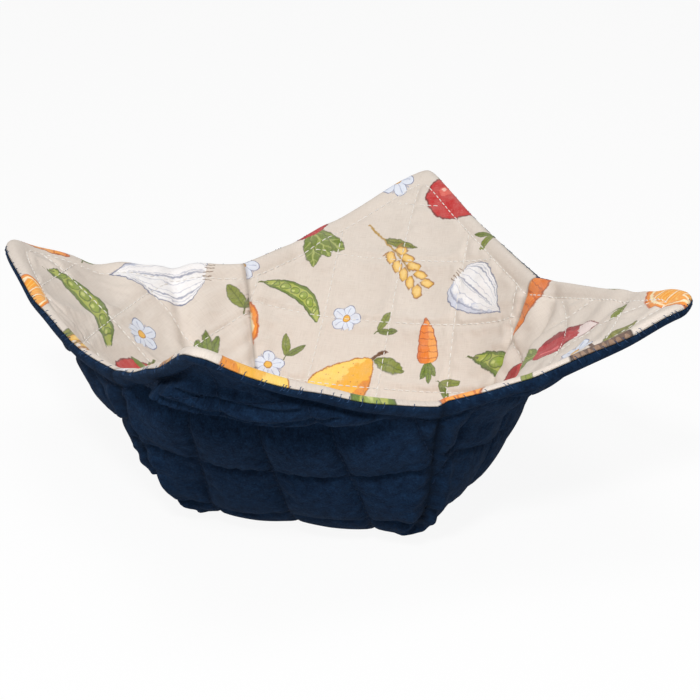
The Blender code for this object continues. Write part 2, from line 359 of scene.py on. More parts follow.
def doubled(grid):
    """A grid with a new row and column halfway between each two, on the cubic through the nearest
    four, and on the quadratic through three at the ends."""
    for _ in range(2):
        new = np.zeros((2 * len(grid) - 1,) + grid.shape[1:])
        new[::2] = grid
        new[3:-3:2] = (9 * (grid[1:-2] + grid[2:-1]) - grid[:-3] - grid[3:]) / 16
        new[1] = (3 * grid[0] + 6 * grid[1] - grid[2]) / 8
        new[-2] = (3 * grid[-1] + 6 * grid[-2] - grid[-3]) / 8
        grid = np.swapaxes(new, 0, 1)
    return grid


def finer(patch):
    """The patch with twice as many rows and columns."""
    if is_wall(patch):
        u, v = doubled(patch.u), doubled(patch.v)
        return Patch(np.full(u.shape, patch.panel[0, 0]), u, v, patch.side)
    x, y = flat_xy(patch.panel, patch.u, patch.v)
    return bottom_from(doubled(x), doubled(y))


def with_rim(patch):
    """A wall patch with the rows of the rolled rim added past its topstitching, at fixed distances
    from the edge along the same columns."""
    if not is_wall(patch):
        return patch
    start = np.abs(patch.v[-1])
    end = np.linspace(0, 1, patch.u.shape[1]) * (CORNER_REACH - MOUTH_OUT)
    inside = np.array(RIM_ROWS)[:, None]
    v = start + (end - start) * (RIM_STITCH - inside) / RIM_STITCH
    u = np.concatenate((patch.u, CORNER_REACH - inside * DIAGONAL - v))
    v = np.concatenate((patch.v, patch.side * v))
    return Patch(np.full(u.shape, patch.panel[0, 0]), u, v, patch.side)


class Net:
    """Patches joined into one cloth. Points are kept patch by patch, and weld gives the number of
    the joined point that each of them is."""

    def __init__(self, patches):
        self.patches = patches
        self.panel = np.concatenate([p.panel.ravel() for p in patches])
        self.u = np.concatenate([p.u.ravel() for p in patches])
        self.v = np.concatenate([p.v.ravel() for p in patches])
        self.middle = sewn_point(self.panel, self.u, self.v)
        key = np.floor(self.middle / WELD + WELD_SHIFT).astype(np.int64)
        _, self.first, weld = np.unique(key, axis=0, return_index=True, return_inverse=True)
        self.weld = weld.ravel()
        self.count = len(self.first)
        self.normal = unit(self.averaged(outward(self.panel, self.u, self.v)))
        faces = []
        start = 0
        for patch in patches:
            rows, columns = patch.u.shape
            number = start + np.arange(rows * columns).reshape(rows, columns)
            quads = np.stack((number[:-1, :-1], number[:-1, 1:], number[1:, 1:], number[1:, :-1]), -1)
            quads = quads.reshape(-1, 4)
            faces.append(quads if patch.side > 0 else quads[:, ::-1])
            start += rows * columns
        self.quads = np.concatenate(faces)

    def averaged(self, values):
        """The mean of the values that meet at each joined point, given back for every point."""
        total = np.zeros((self.count,) + values.shape[1:])
        np.add.at(total, self.weld, values)
        number = np.bincount(self.weld, minlength=self.count)
        return (total / number.reshape((-1,) + (1,) * (values.ndim - 1)))[self.weld]

    def split(self, values):
        """Values of all points as one grid for each patch."""
        grids = []
        start = 0
        for patch in self.patches:
            size = patch.u.size
            grids.append(values[start:start + size].reshape(patch.u.shape + values.shape[1:]))
            start += size
        return grids


def from_lines(net):
    """Distances of each flat point to the nearest quilting line along x and along y."""
    places = flat_xy(net.panel, net.u, net.v)
    return [np.abs(value - nearest_line(value, shift)) for value, shift in zip(places, QUILT_SHIFT)]


def from_rim(net):
    """Distance to the edge of the flat cloth."""
    return (CORNER_REACH - net.u - np.abs(net.v)) / DIAGONAL


def from_seam(net):
    """Distance to the nearest dart seam, large on the bottom away from the darts' points."""
    along = np.maximum(BASE_HALF - net.u, 0)
    beside = (half_width(np.maximum(net.u, BASE_HALF)) - np.abs(net.v)) / math.hypot(1, SPREAD)
    return np.hypot(along, np.maximum(beside, 0))


def calmed(net):
    """The share of a puff that is left beside a dart seam, which holds the cloth tight."""
    return CALM_LEFT + (1 - CALM_LEFT) * eased(from_seam(net) / SEAM_CALM)


def puffs(net):
    """How far the quilting squares swell, from 0 to 1: the product of two arches between the stitched
    lines, falling to nothing at the dart seams and the topstitching. On the walls the padding has
    slid down, so an arch is fullest nearer its lower line; under the bowl it is pressed flat."""
    shifts = np.array([line_shifts(panel) for panel in range(4)])[net.panel]
    along = (net.u - shifts[:, 0]) / QUILT_PITCH % 1
    across = (net.v - shifts[:, 1]) / QUILT_PITCH % 1
    slid = 1 - PUFF_SLID * eased((net.u - BASE_HALF) / 0.02)
    arch = np.maximum(np.sin(np.pi * along**slid) * np.sin(np.pi * across), 0) ** 0.5
    edge = np.clip((from_rim(net) - RIM_STITCH) / 0.008, 0, 1) ** 0.6
    seam = np.clip(from_seam(net) / 0.005, 0, 1) ** 0.5
    downwards = -net.normal[:, 2]
    pressed = 1 - PUFF_PRESSED * eased((downwards - 0.55) / 0.35)
    return arch * edge * seam * pressed


def creases(net):
    """How deep the stitches' lines and the dart seams are drawn in: a narrow bell curve across them."""
    nearest = np.minimum(np.minimum(*from_lines(net)), from_seam(net))
    nearest = np.minimum(nearest, np.abs(from_rim(net) - RIM_STITCH))
    held = (from_rim(net) > RIM_STITCH - CREASE_WIDTH) * (1 - LIP_LOOSE * lip(net)[2])
    return bell(nearest, CREASE_WIDTH) * held


def lip(net):
    """The cover's slack below the front rim, as three numbers. The first is its swell, 0 to 1, which
    rises steeply past the line that it hangs over and dies away towards the corner. The second is the
    height of its folds in metres: round ridges with sharp valleys, the absolute value of a cosine to
    a power, that run along the line, less a wide hollow, a bell curve, below the line. The third is
    how slack the cloth is, 0 to 1."""
    past = net.u - LIP_LINE + LIP_SLANT * net.v
    rise = np.sin(np.pi / 2 * np.clip(past / LIP_RISE, 0, 1)) ** 0.6
    fall = 1 - eased((past - LIP_RISE) / LIP_FADE)
    share = net.v / half_width(np.maximum(net.u, BASE_HALF))
    here = (net.panel == LIP_PANEL) * eased(0.9 - share) * eased((from_rim(net) - RIM_STITCH) / 0.003)
    wander = 0.4 * np.sin(net.v / 0.024 + 0.6) + 0.15 * np.sin(net.v / 0.0091)
    ridge = np.abs(np.cos(np.pi * (past - LIP_RISE) / RIPPLE_PITCH + wander)) ** 0.6
    strength = eased((past - 0.002) / 0.004) * (1 - eased((past - 0.012) / 0.014))
    hollow = TUCK * bell(past + TUCK_AWAY, TUCK_WIDTH)
    ridges = RIPPLE * (ridge - RIPPLE_LEVEL) * strength - hollow
    return rise * fall * here, ridges * here, here * (past > NEAR)


def folds(net):
    """How far the whole cloth is pushed outwards by its soft folds: a bell curve across each line."""
    total = np.zeros(net.u.shape)
    for fold in FOLDS:
        (u0, v0), (u1, v1) = fold.start, fold.end
        along_u, along_v = u1 - u0, v1 - v0
        length = math.hypot(along_u, along_v)
        share = np.clip(((net.u - u0) * along_u + (net.v - v0) * along_v) / length**2, 0, 1)
        away = np.hypot(net.u - u0 - share * along_u, net.v - v0 - share * along_v)
        total += (net.panel == fold.panel) * fold.depth * bell(away, fold.width)
    return total


def unevenness(net):
    """A slight wander of the cloth near the rim, as hand-turned edges have: a sum of sines of its
    flat place, fading with the distance from the edge."""
    x, y = flat_xy(net.panel, net.u, net.v)
    wave = np.sin(x / 0.0067 + 1.9 * np.sin(y / 0.011)) + np.sin(y / 0.0053 + 1.3 * np.sin(x / 0.013))
    return UNEVEN * wave * np.exp(-from_rim(net) / UNEVEN_FADE)


def seam_puckers(net):
    """Short folds square to the dart seams, where the stitching draws the cloth up: a wave along the
    seam that fades with the distance from it. Each panel's side has its own count of waves."""
    beside = from_seam(net)
    along = (net.u - BASE_HALF) * math.hypot(1, SPREAD)
    side = np.where(net.v > 0, 1, 0) + 2 * net.panel
    pitch = np.array(PUCKER_PITCHES)[side]
    wave = np.cos(2 * np.pi * along / pitch + 1.3 * side + 0.8 * np.sin(along / 0.006))
    reach = np.exp(-beside / 0.008) * (1 - np.exp(-beside / 0.0016))
    return wave * reach * (net.u > BASE_HALF - 0.004)


def relaxed(net, outer, inner):
    """Both faces after a short cloth simulation. The wadding presses them apart, while the stitched
    lines, the seams and the topstitching hold them."""
    held = np.minimum(np.minimum(*from_lines(net)), from_seam(net)) < NEAR
    held |= from_rim(net) < RIM_STITCH + NEAR
    first = net.first
    count = net.count
    points = np.concatenate((outer[first], inner[first]))
    quads = net.weld[net.quads]
    mesh = bpy.data.meshes.new("relaxing")
    mesh.from_pydata(points.tolist(), [], np.concatenate((quads, quads[:, ::-1] + count)).tolist())
    cloth = linked("relaxing", mesh)
    both = np.nonzero(np.tile(held[first], 2))[0]
    cloth.vertex_groups.new(name="held").add(both.tolist(), 1.0, "REPLACE")
    slack = cloth.vertex_groups.new(name="slack")
    slack.add(list(range(count)), 1.0, "REPLACE")
    slack.add(list(range(count, 2 * count)), 0.0, "REPLACE")
    modifier = cloth.modifiers.new("Cloth", "CLOTH")
    for name, value in CLOTH_SETTINGS.items():
        setattr(modifier.settings, name, value)
    modifier.settings.effector_weights.gravity = 0.15
    modifier.collision_settings.use_collision = False
    modifier.collision_settings.use_self_collision = False
    modifier.point_cache.frame_start = 1
    modifier.point_cache.frame_end = SIM_FRAMES
    scene = bpy.context.scene
    for number in range(1, SIM_FRAMES + 1):
        scene.frame_set(number)
    shape = cloth.evaluated_get(bpy.context.evaluated_depsgraph_get()).to_mesh()
    settled = np.zeros(len(points) * 3)
    shape.vertices.foreach_get("co", settled)
    settled = settled.reshape(-1, 3)
    scene.frame_set(1)
    bpy.data.objects.remove(cloth)
    moved = settled - points
    length = np.linalg.norm(moved, axis=1, keepdims=True)
    most = np.tile(MOST_MOVED * calmed(net)[first], 2)[:, None]
    settled = points + moved * np.minimum(1, most / np.maximum(length, 1e-9))
    return settled[:count][net.weld], settled[count:][net.weld]


def rolled(inside, crest, height):
    """Half thickness of the rim: a round crest near the edge that eases down to the topstitching."""
    rise = np.sqrt(np.clip(1 - (1 - inside / crest) ** 2, 0, 1))
    fall = eased((inside - crest) / (RIM_STITCH - crest))
    return np.where(inside < crest, EDGE_HALF + (height - EDGE_HALF) * rise,
                    height + (STITCHED_HALF - height) * fall)


def laid_out_patches():
    return [bottom_patch()] + [wall_patch(panel, side) for panel in range(4) for side in (1, -1)]


def bent(net):
    """Pushes the net's middle out by the soft folds and the unevenness of the rim."""
    push = net.averaged(folds(net) + unevenness(net))
    net.middle = net.middle + net.normal * push[:, None]
    return net


def padded_faces(net):
    """Outer and inner face over the wadding: half the stitched thickness, the puffs, the puckers and
    the welts, which are bell curves beside the seams."""
    swelling = puffs(net)
    flattened = swelling * (1 - LIP_FLAT * lip(net)[2])
    puckers = seam_puckers(net)
    welt = WELT * bell(from_seam(net) - WELT_AWAY, WELT_WIDTH)
    out = STITCHED_HALF + PUFF_OUT * flattened + PUCKER_OUT * puckers + welt
    into = STITCHED_HALF + PUFF_IN * swelling * calmed(net) + PUCKER_IN * puckers + WELT_IN * welt
    return net.middle + net.normal * out[:, None], net.middle - net.normal * into[:, None]


def fine_face(coarse, face, fine, sign, crest):
    """One face of the cloth on the fine net: the settled face up to the topstitching and the rolled
    rim past it, which leans outwards towards the edge. Stitches and seams sink in as bell curves, as
    far as there is room. sign is 1 for the cover and -1 for the lining."""
    offsets = []
    for grid, patch in zip(coarse.split(face - coarse.middle), fine.patches):
        grid = doubled(grid)
        rim = np.zeros((patch.u.shape[0] - grid.shape[0],) + grid.shape[1:])
        offsets.append(np.concatenate((grid, rim)).reshape(-1, 3))
    offset = np.concatenate(offsets)
    inside = from_rim(fine)
    rim = inside < RIM_STITCH - NEAR
    share = eased(0.5 + fine.v / 0.012)
    turn = np.array(ROLL_TURN)[fine.panel]
    turn = turn[:, 0] + (turn[:, 1] - turn[:, 0]) * share
    turned = turn * (1 - np.clip(inside / RIM_STITCH, 0, 1)) ** 2
    height = np.full(len(inside), ROLL_HALF) if sign > 0 else np.array(ROLL_IN)[fine.panel]
    offset[rim] = (fine.normal * (rolled(inside, crest, height) * sign + turned)[:, None])[rim]
    sunk = CREASE * creases(fine)
    sunk += SEAM_SUNK * bell(from_seam(fine), SEAM_WIDTH) * eased((inside - 0.003) / 0.006)
    room = sign * (offset * fine.normal).sum(1) - SUNK_ROOM
    offset -= fine.normal * (sign * np.minimum(sunk, np.maximum(room, 0)))[:, None]
    return fine.middle + fine.averaged(offset)


def placed(points):
    """The pattern's middle stands where the frame has it, and nothing reaches under the table."""
    moved = points + ORIGIN_SHIFT
    moved[:, 2] = np.maximum(moved[:, 2], 0)
    return moved


def linked(name, data):
    made = bpy.data.objects.new(name, data)
    bpy.context.scene.collection.objects.link(made)
    return made


def closed_layer(name, net, top, under):
    """A closed sheet between two faces of the net, top outwards, joined by a strip round the edge.
    Every corner of its faces keeps the flat place that it was cut at, as a UV map, and every point
    keeps how deep it lies in a seam or beside stitches, where the materials paint shade."""
    quads = net.weld[net.quads]
    loose = np.concatenate([net.quads[:, [k, (k + 1) % 4]] for k in range(4)])
    pairs = np.sort(net.weld[loose], axis=1)
    _, index, counts = np.unique(pairs, axis=0, return_index=True, return_counts=True)
    rim = loose[index[counts == 1]]
    edge = net.weld[rim]
    strip = np.stack((edge[:, 1], edge[:, 0], edge[:, 0] + net.count, edge[:, 1] + net.count), -1)
    faces = np.concatenate((quads, quads[:, ::-1] + net.count, strip))
    corners = np.concatenate((net.quads, net.quads[:, ::-1], rim[:, [1, 0, 0, 1]]))
    mesh = bpy.data.meshes.new(name)
    mesh.from_pydata(np.concatenate((top[net.first], under[net.first])).tolist(), [], faces.tolist())
    mesh.shade_smooth()
    x, y = flat_xy(net.panel, net.u, net.v)
    flat = np.stack((x, y), -1)[corners]
    cut = mesh.uv_layers.new(name="cut")
    cut.uv.foreach_set("vector", (flat / UV_SPAN + 0.5).astype(np.float32).ravel())
    # The hollow attribute is the mask of the painted shade in the creases of the seams and stitches
    hollow = mesh.attributes.new("hollow", "FLOAT", "POINT")
    depth = np.maximum(bell(from_seam(net), SEAM_WIDTH), creases(net) / 2)[net.first]
    hollow.data.foreach_set("value", np.tile(depth, 2).astype(np.float32))
    return linked(name, mesh), flat


def laid_out_motifs():
    """Places, sizes, turns and kinds of the print's motifs. Random places are taken one after the
    other where a motif has room, the largest rooms first, and each gets the kind of its size whose
    nearest like is furthest off."""
    random = np.random.default_rng(PRINT_SEED)
    places = np.zeros((0, 2))
    rooms = np.zeros(0)
    kinds = np.zeros(0, int)
    for room in LARGE_ROOMS + SMALL_ROOMS:
        choice = LARGE_KINDS if room in LARGE_ROOMS else SMALL_KINDS
        for place in random.uniform(-CORNER_REACH, CORNER_REACH, (PRINT_TRIES, 2)):
            if np.abs(place).sum() > CORNER_REACH + room / 2:
                continue
            away = np.hypot(*(places - place).T)
            if (away < (rooms + room) * CROWDING).any():
                continue
            nearest = [away[kinds == kind].min(initial=random.uniform(0.5, 1)) for kind in choice]
            places = np.vstack((places, place))
            rooms = np.append(rooms, room)
            kinds = np.append(kinds, choice[int(np.argmax(nearest))])
    turns = random.uniform(0, 2 * np.pi, len(rooms))
    return places, rooms, turns, kinds


def add_print(piece, flat):
    """Gives each face corner its place in the nearest motif's own axes, in millimetres of the motif
    as drawn, and the motif's kind. Nearness counts from the motif's room, so that large motifs own
    more of the cloth. The place changes linearly over a face, so the pattern stays sharp."""
    places, rooms, turns, kinds = laid_out_motifs()
    middle = flat.mean(axis=1)
    owner = np.zeros(len(middle), int)
    for part in np.array_split(np.arange(len(middle)), 20):
        gap = middle[part, None, :] - places[None, :, :]
        owner[part] = np.argmin((gap**2).sum(-1) - rooms[None, :] ** 2, axis=1)
    large = np.isin(kinds, LARGE_KINDS)
    scale = 1000 * np.where(large, MOTIF_REACH, SMALL_ROOMS[0]) / rooms
    gap = flat - places[owner][:, None, :]
    cosine = (np.cos(turns) * scale)[owner][:, None]
    sine = (np.sin(turns) * scale)[owner][:, None]
    across = gap[..., 0] * cosine + gap[..., 1] * sine
    along = gap[..., 1] * cosine - gap[..., 0] * sine
    kind = np.broadcast_to(kinds[owner][:, None], across.shape)
    layer = piece.data.attributes.new("motif", "FLOAT_VECTOR", "CORNER")
    layer.data.foreach_set("vector", np.stack((across, along, kind), -1).astype(np.float32).ravel())


def at(grid, row, column):
    """Values of a grid at fractional rows and columns, straight between its points."""
    top = np.clip(row.astype(int), 0, grid.shape[0] - 2)
    left = np.clip(column.astype(int), 0, grid.shape[1] - 2)
    down = (row - top)[:, None]
    right = (column - left)[:, None]
    upper = grid[top, left] * (1 - right) + grid[top, left + 1] * right
    lower = grid[top + 1, left] * (1 - right) + grid[top + 1, left + 1] * right
    return upper * (1 - down) + lower * down


def line_in_rows(values, line):
    """Fractional rows at which a grid that grows down its columns reaches a value, column by column,
    and the columns' numbers."""
    rows = []
    columns = []
    for column in range(values.shape[1]):
        if values[0, column] < line < values[-1, column]:
            rows.append(np.interp(line, values[:, column], np.arange(values.shape[0])))
            columns.append(column)
    return np.array(rows), np.array(columns, float)


def quilting_runs(patch, last_row):
    """The quilting lines of a patch up to its topstitching, as fractional rows and columns."""
    if is_wall(patch):
        u_shift, v_shift = line_shifts(patch.panel[0, 0])
        values, shifts = (patch.u, patch.side * patch.v), (u_shift, patch.side * v_shift)
    else:
        values, shifts = flat_xy(patch.panel, patch.u, patch.v), QUILT_SHIFT
    down, across = (grid[:last_row + 1] for grid in values)
    most = math.ceil(CORNER_REACH / QUILT_PITCH)
    runs = []
    for number in range(-most, most + 1):
        runs.append(line_in_rows(down, shifts[0] + QUILT_PITCH * number))
        columns, rows = line_in_rows(across.T, shifts[1] + QUILT_PITCH * number)
        runs.append((rows, columns))
    return [run for run in runs if len(run[0]) > 3]


class Thread:
    """Stitches, each a short tube with a few sides that dips into the cloth at both ends."""

    def __init__(self):
        self.points = []
        self.faces = []
        self.count = 0

    def sew(self, path, normal, pitch, length, radius):
        """Stitches one after the other along a line on the cloth, a pitch apart."""
        reach = travelled(path)
        starts = np.arange(0.4 * pitch, reach[-1] - length, pitch)
        if len(starts) == 0:
            return
        places = starts[:, None] + np.array([ring[0] for ring in STITCH_RINGS]) * length
        centre = np.stack([np.interp(places, reach, path[:, k]) for k in range(3)], -1)
        up = np.stack([np.interp(places, reach, normal[:, k]) for k in range(3)], -1)
        self.tubes(centre, up, radius)

    def tubes(self, centre, up, radius):
        """Tubes round rows of centres: at each, a ring in the plane of the cloth's normal and the
        direction square to the thread."""
        up = unit(up)
        side = unit(np.cross(np.gradient(centre, axis=1), up))
        _, widths, heights = np.array(STITCH_RINGS).T
        thickness = radius * widths[None, :, None, None]
        lift = radius * heights[None, :, None]
        angle = 2 * np.pi * np.arange(RING_SIDES) / RING_SIDES
        sideways = side[:, :, None, :] * np.cos(angle)[:, None]
        upwards = up[:, :, None, :] * np.sin(angle)[:, None]
        points = (centre + up * lift)[:, :, None, :] + thickness * (sideways + upwards)
        rings = len(STITCH_RINGS)
        k = np.arange(RING_SIDES)
        after = (k + 1) % RING_SIDES
        quads = [np.stack((r * RING_SIDES + k, r * RING_SIDES + after, (r + 1) * RING_SIDES + after,
                           (r + 1) * RING_SIDES + k), -1) for r in range(rings - 1)]
        start = (np.arange(len(points)) * rings * RING_SIDES)[:, None] + self.count
        quads = np.concatenate(quads)[None] + start[:, :, None]
        self.points.append(points.reshape(-1, 3))
        self.faces += quads.reshape(-1, 4).tolist()
        self.faces += (start + k[::-1]).tolist()
        self.faces += (start + k + (rings - 1) * RING_SIDES).tolist()
        self.count += points.size // 3

    def piece(self, name):
        mesh = bpy.data.meshes.new(name)
        mesh.from_pydata(placed(np.concatenate(self.points)).tolist(), [], self.faces)
        mesh.shade_smooth()
        return linked(name, mesh)


def sewn_stitches(fine, outer, inner):
    """The quilting and the topstitching, which show on both faces, and the navy stitches that wind
    over the edge from the cover onto the lining, of random lengths."""
    random = np.random.default_rng(THREAD_SEED)
    on_lining, on_cover, on_edge = Thread(), Thread(), Thread()
    faces = ((on_cover, fine.split(outer), fine.split(fine.normal)),
             (on_lining, fine.split(inner), fine.split(-fine.normal)))
    for number, patch in enumerate(fine.patches):
        wall = is_wall(patch)
        last_row = patch.u.shape[0] - 1 - (len(RIM_ROWS) if wall else 0)
        runs = quilting_runs(patch, last_row)
        if wall:
            columns = np.arange(patch.u.shape[1], dtype=float)
            runs.append((np.full(len(columns), float(last_row)), columns))
        for thread, grids, normals in faces:
            for rows, columns in runs:
                path = at(grids[number], rows, columns)
                thread.sew(path, at(normals[number], rows, columns), STITCH_PITCH, STITCH, THREAD_RADIUS)
        if wall:
            edge_stitches(on_edge, random, faces, number, patch)
    return on_lining, on_cover, on_edge


def edge_stitches(thread, random, faces, number, patch):
    """Stitches over the rim of half a wall: each starts on the cover, crosses the seam at the edge
    and ends on the lining, leaning a little to one side."""
    (_, covers, _), (_, linings, _) = faces
    cover, lining = covers[number], linings[number]
    last = patch.u.shape[0] - 1
    reach = travelled(cover[last])
    starts = np.arange(0.5 * EDGE_PITCH, reach[-1], EDGE_PITCH)
    starts = starts + random.uniform(-0.3, 0.3, len(starts)) * EDGE_PITCH
    starts = starts[random.uniform(0, 1, len(starts)) < EDGE_SHARE]
    column = np.interp(starts, reach, np.arange(len(reach)))
    lean = np.interp(starts + EDGE_LEAN, reach, np.arange(len(reach))) - column
    below = random.uniform(*EDGE_BELOW, len(starts))
    above = EDGE_ABOVE * random.uniform(0.1, 1, len(starts)) ** 2
    rim = np.array(RIM_ROWS[::-1])
    rows = [last - np.interp(inside, rim, np.arange(len(rim)))
            for inside in (below, below / 2, 0 * below, above / 2, above)]
    shares = (0, 0.25, 0.5, 0.75, 1)
    centre = np.stack([at(grid, row, column + lean * share) for grid, row, share in
                       zip((cover, cover, cover, lining, lining), rows, shares)], 1)
    # A stitch turns round a point inside the rim, so up is away from that
    middle = (at(cover, rows[2], column) + at(lining, rows[2], column)) / 2
    deeper = np.full(len(starts), last - 5.0)
    inwards = at(cover, deeper, column) + at(lining, deeper, column)
    thread.tubes(centre, centre - (middle * 0.4 + inwards / 2 * 0.6)[:, None, :], EDGE_RADIUS)


class Value:
    """A socket of a finish, so that shader maths reads as Python."""

    def __init__(self, finish, socket):
        self.finish = finish
        self.socket = socket

    def math(self, operation, *others, clamp=False):
        return self.finish.maths(operation, self, *others, clamp=clamp)

    def __rsub__(self, other):
        return self.finish.maths("SUBTRACT", other, self)

    def clamped(self, times=1.0):
        """The value times a number, kept from 0 to 1."""
        return self.math("MULTIPLY", times, clamp=True)

    __add__ = __radd__ = partialmethod(math, "ADD")
    __sub__ = partialmethod(math, "SUBTRACT")
    __mul__ = __rmul__ = partialmethod(math, "MULTIPLY")
    __truediv__ = partialmethod(math, "DIVIDE")
    __pow__ = partialmethod(math, "POWER")
    __mod__ = partialmethod(math, "FLOORED_MODULO")
    __abs__ = partialmethod(math, "ABSOLUTE")
    most = partialmethod(math, "MAXIMUM")
    sine = partialmethod(math, "SINE")
    root = partialmethod(math, "SQRT")


class Finish:
    """A material that is being built. What varies over the cloth goes into its Principled BSDF."""
    store, closing = "materials", "Principled BSDF"

    def __init__(self, name, **constants):
        self.material = getattr(bpy.data, self.store).new(name)
        self.material.use_nodes = True
        self.tree = self.material.node_tree
        self.shader = self.tree.nodes[self.closing]
        for socket, value in constants.items():
            self.shader.inputs[socket.replace("_", " ")].default_value = value

    def node(self, kind, settings=None, sockets=None, result=0):
        """A node of a kind, its settings, and the values or links of its sockets."""
        made = self.tree.nodes.new("ShaderNode" + kind)
        for name, value in (settings or {}).items():
            setattr(made, name, value)
        for key, value in (sockets or {}).items():
            if isinstance(value, Value):
                self.tree.links.new(value.socket, made.inputs[key])
            else:
                made.inputs[key].default_value = value
        return Value(self, made.outputs[result])

    def maths(self, operation, *values, clamp=False):
        settings = {"operation": operation, "use_clamp": clamp}
        return self.node("Math", settings, dict(enumerate(values)))

    def painted(self, under, colour, mask):
        """A colour laid over another where the mask is 1."""
        return self.node("Mix", {"data_type": "RGBA"}, {0: mask, 6: under, 7: colour}, 2)

    def outputs(self, made, *keys):
        return [Value(self, made.socket.node.outputs[key]) for key in keys]

    def axes(self, vector):
        return self.outputs(self.node("SeparateXYZ", None, {0: vector}), 0, 1, 2)

    def joined(self, x, y, z):
        return self.node("CombineXYZ", None, {0: x, 1: y, 2: z})

    def cut(self):
        """The flat place that the cloth was cut at, UV_SPAN metres to 1."""
        return self.node("UVMap", {"uv_map": "cut"})

    def place(self):
        return self.node("TexCoord", None, None, 3)

    def noise(self, vector, scale, detail=2.0, roughness=0.5, result=0):
        sockets = {"Vector": vector, "Scale": scale, "Detail": detail, "Roughness": roughness}
        return self.node("TexNoise", None, sockets, result)

    def feeds(self, socket, value):
        self.tree.links.new(value.socket, self.shader.inputs[socket])

    def hollow(self):
        """1 along the dart seams and less along the stitches: the mask of the shade painted into these
        creases.
        """
        return self.node("Attribute", {"attribute_name": "hollow"}, None, 2)

    def bump(self, height, distance, strength=1.0):
        sockets = {"Height": height, "Distance": distance, "Strength": strength}
        self.feeds("Normal", self.node("Bump", None, sockets))


class Studio(Finish):
    """The world round the object, built as a finish is."""
    store, closing = "worlds", "Background"


def tint(red, green, blue):
    """A colour written as it looks, from 0 to 255, as the linear colour that a shader takes."""
    share = np.array([red, green, blue]) / 255
    linear = np.where(share <= 0.04045, share / 12.92, ((share + 0.055) / 1.055) ** 2.4)
    return (*linear.tolist(), 1.0)


class Motif:
    """Draws one kind of motif of the print over a colour. p runs across it and q along it, in
    millimetres, and grain is a noise round 0. A shape is a distance past its outline, negative
    inside, and colours are written as tint takes them."""

    def __init__(self, finish, colour, place, p, q, grain, here):
        self.finish = finish
        self.colour = colour
        self.place = place
        self.p = p
        self.q = q
        self.grain = grain
        self.here = here

    def fill(self, past, colour, share=1.0):
        inside = past.math("MULTIPLY_ADD", -3.5, 0.5, clamp=True)
        self.colour = self.finish.painted(self.colour, tint(*colour), inside * self.here * share)

    def shade(self, past, beyond, colour, share=0.8):
        """Colours the part of a shape that lies within a second outline."""
        self.fill(beyond.most(past), colour, share)

    def line(self, past, colour, width=0.22, share=1.0):
        self.fill(abs(past) - width, colour, share)

    def turned(self, at_p, at_q, degrees):
        """Axes of a shape that starts at a point and points that many degrees left of q."""
        cosine, sine = math.cos(math.radians(degrees)), math.sin(math.radians(degrees))
        p, q = self.p - at_p, self.q - at_q
        return p * cosine + q * sine, q * cosine - p * sine

    def profile(self, x, y, start, length, width, low, high):
        """The outline |x| = width * t**low * (1 - t)**high, t the share of the length at y."""
        share = ((y - start) / length).clamped()
        half = share**low * (1 - share) ** high * width
        beyond = (abs(y - start - length / 2) - length / 2).most(0.0)
        return abs(x) - half + 0.12 + beyond * 3, half

    def leaf(self, at_p, at_q, degrees, length, width, colour, vein):
        """A pointed leaf with a midrib and slanting side veins."""
        x, y = self.turned(at_p, at_q, degrees)
        past, _ = self.profile(x, y, 0, length, width * 2.3, 0.7, 0.75)
        self.fill(past, colour)
        side_veins = (((y - abs(x) * 0.9) * 2.6).sine() - 0.86) * -1.0
        self.fill(side_veins + past.most(0.0) * 9, vein, 0.6)
        self.fill(abs(x) - 0.16 + (past.most(-0.2) + 0.2) * 9, vein)
        self.line(past, (54, 66, 22), 0.14, 0.7)


def span(x, y):
    """Distance from x = y = 0."""
    return (x * x + y * y).root()


def oval(x, y, wide, high, size):
    """Distance past an oval of those half axes, as if it were a circle of a radius of that size."""
    return (((x / wide) ** 2 + (y / high) ** 2).root() - 1) * size


def bar(x, wide, y, high):
    """Distance past a bar of half a width and half a length."""
    return abs(x) - wide + (abs(y) - high).most(0.0) * 9


def stripes(wave, level, steep, past):
    """Stripes within a shape, where the sine of the wave is above the level."""
    return ((wave.sine() - level) * -steep).most(past)


def draw_carrot(m):
    past, _ = m.profile(m.p, m.q, -14, 19.5, 7.6, 0.72, 0.2)
    for degrees, length in ((24, 8), (-22, 8.5), (2, 10)):
        m.leaf(0.2, 4.6, degrees, length, 1.9, (112, 132, 44), (70, 92, 30))
    m.fill(past, (232, 126, 34))
    m.shade(past, m.p * 0.5 + 0.3 + m.grain * 2, (246, 168, 74))
    m.shade(past, 1.7 - m.p * 0.6 + m.grain * 2, (208, 96, 20), 0.6)
    m.fill(stripes(m.q * 2.3 + m.p * 0.35 + m.grain * 3, 0.9, 2.0, past), (186, 84, 18), 0.8)
    m.line(past, (160, 74, 20), 0.2)


def draw_pear(m):
    share = ((m.q + 12) / 20).clamped()
    half = (share * (1 - share)).root() * (1 - share * 0.58) * 20
    past = abs(m.p) - half + 0.12 + (abs(m.q + 2) - 10).most(0.0) * 3
    m.leaf(0.6, 8.2, -68, 9, 2.3, (122, 134, 38), (82, 98, 28))
    m.fill(bar(m.p - (m.q - 7) * (m.q - 7) * 0.05, 0.5, m.q - 9.8, 2.6), (96, 58, 30))
    m.fill(past, (240, 176, 42))
    m.shade(past, m.p * 0.5 + 1.0 + m.grain * 3, (250, 212, 104), 0.9)
    m.shade(past, 1.7 - m.p * 0.5 + m.grain * 4, (222, 128, 30))
    spots = m.finish.node("TexVoronoi", None, {"Vector": m.place, "Scale": 0.8})
    m.shade(past, (spots - 0.14) * 2, (190, 104, 22))
    m.line(past, (176, 104, 24), 0.2)


